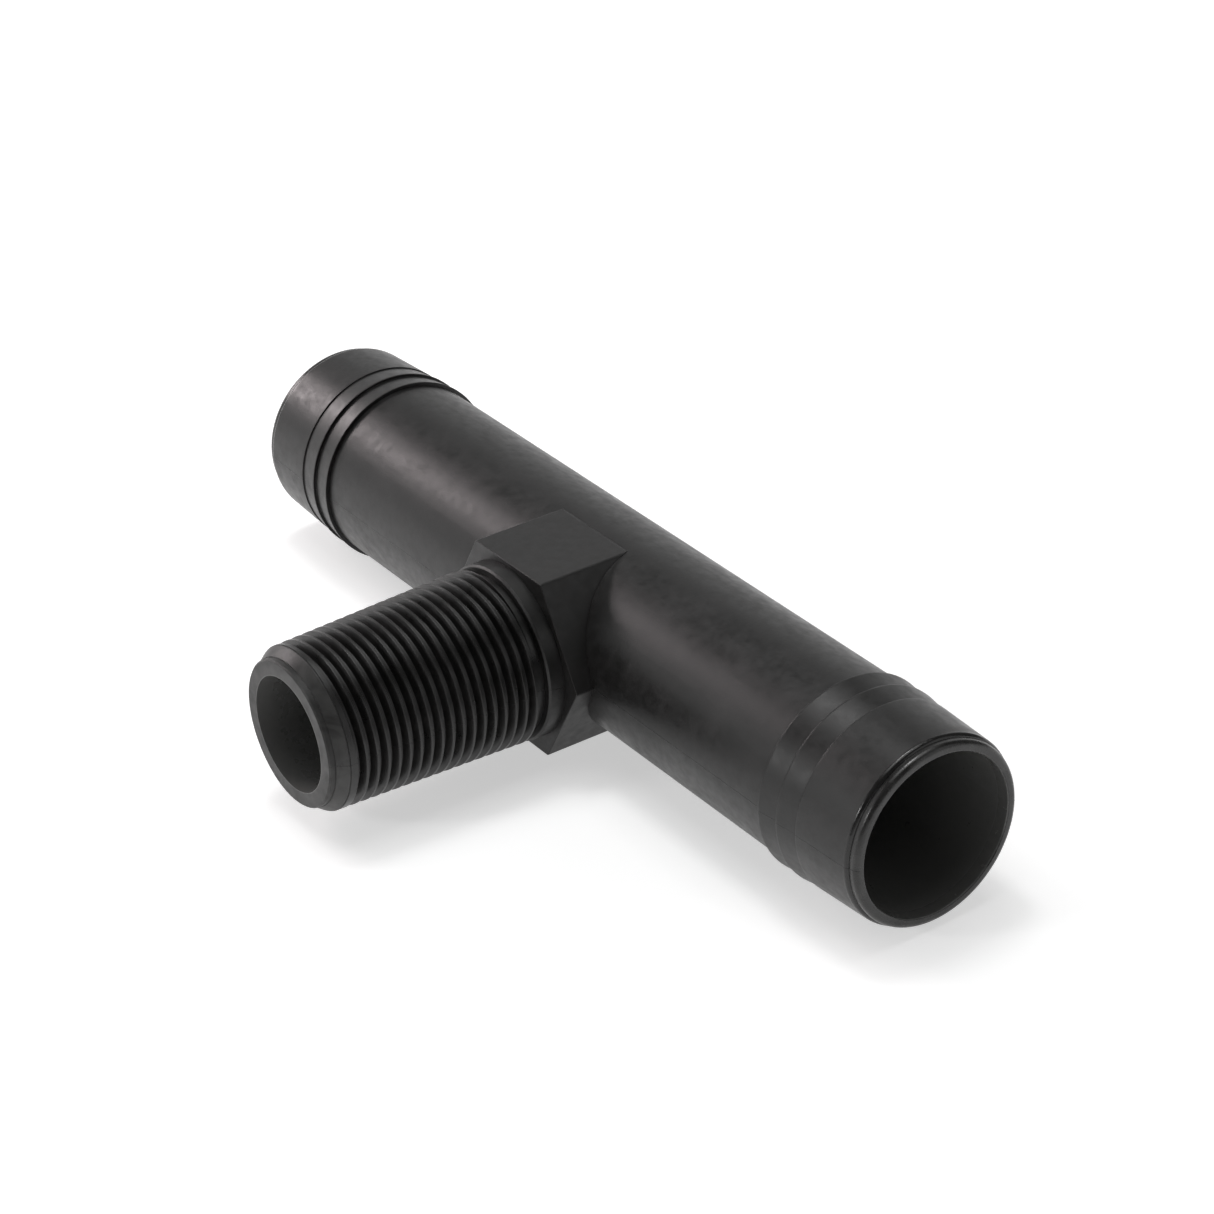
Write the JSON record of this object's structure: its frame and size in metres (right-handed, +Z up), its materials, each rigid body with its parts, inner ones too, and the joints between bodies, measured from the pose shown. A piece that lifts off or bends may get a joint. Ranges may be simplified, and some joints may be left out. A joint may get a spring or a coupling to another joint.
{
  "type": "hose tee fitting",
  "caption": "Black moulded insert tee: a straight hose run with a barbed end each way, and a side branch with a hexagon and a tapered male pipe thread.",
  "frame": {"origin": "where the axes of the two passages cross, in the middle of the run's bore", "axes": "+X along the run towards its right end, the branch points along -Y, +Z up at right angles to both; Z = 0 is the mould's parting plane"},
  "size_m": [0.1564, 0.0734, 0.0314],
  "materials": {
    "plastic": "satin"
  },
  "bodies": {
    "root": {"run_tube": "plastic", "barbed_end_left": "plastic", "barbed_end_right": "plastic", "end_nose_left": "plastic", "end_nose_right": "plastic", "hex_boss": "plastic", "branch_collar": "plastic", "threaded_spigot": "plastic", "spigot_nose": "plastic"}
  },
  "joints": []
}
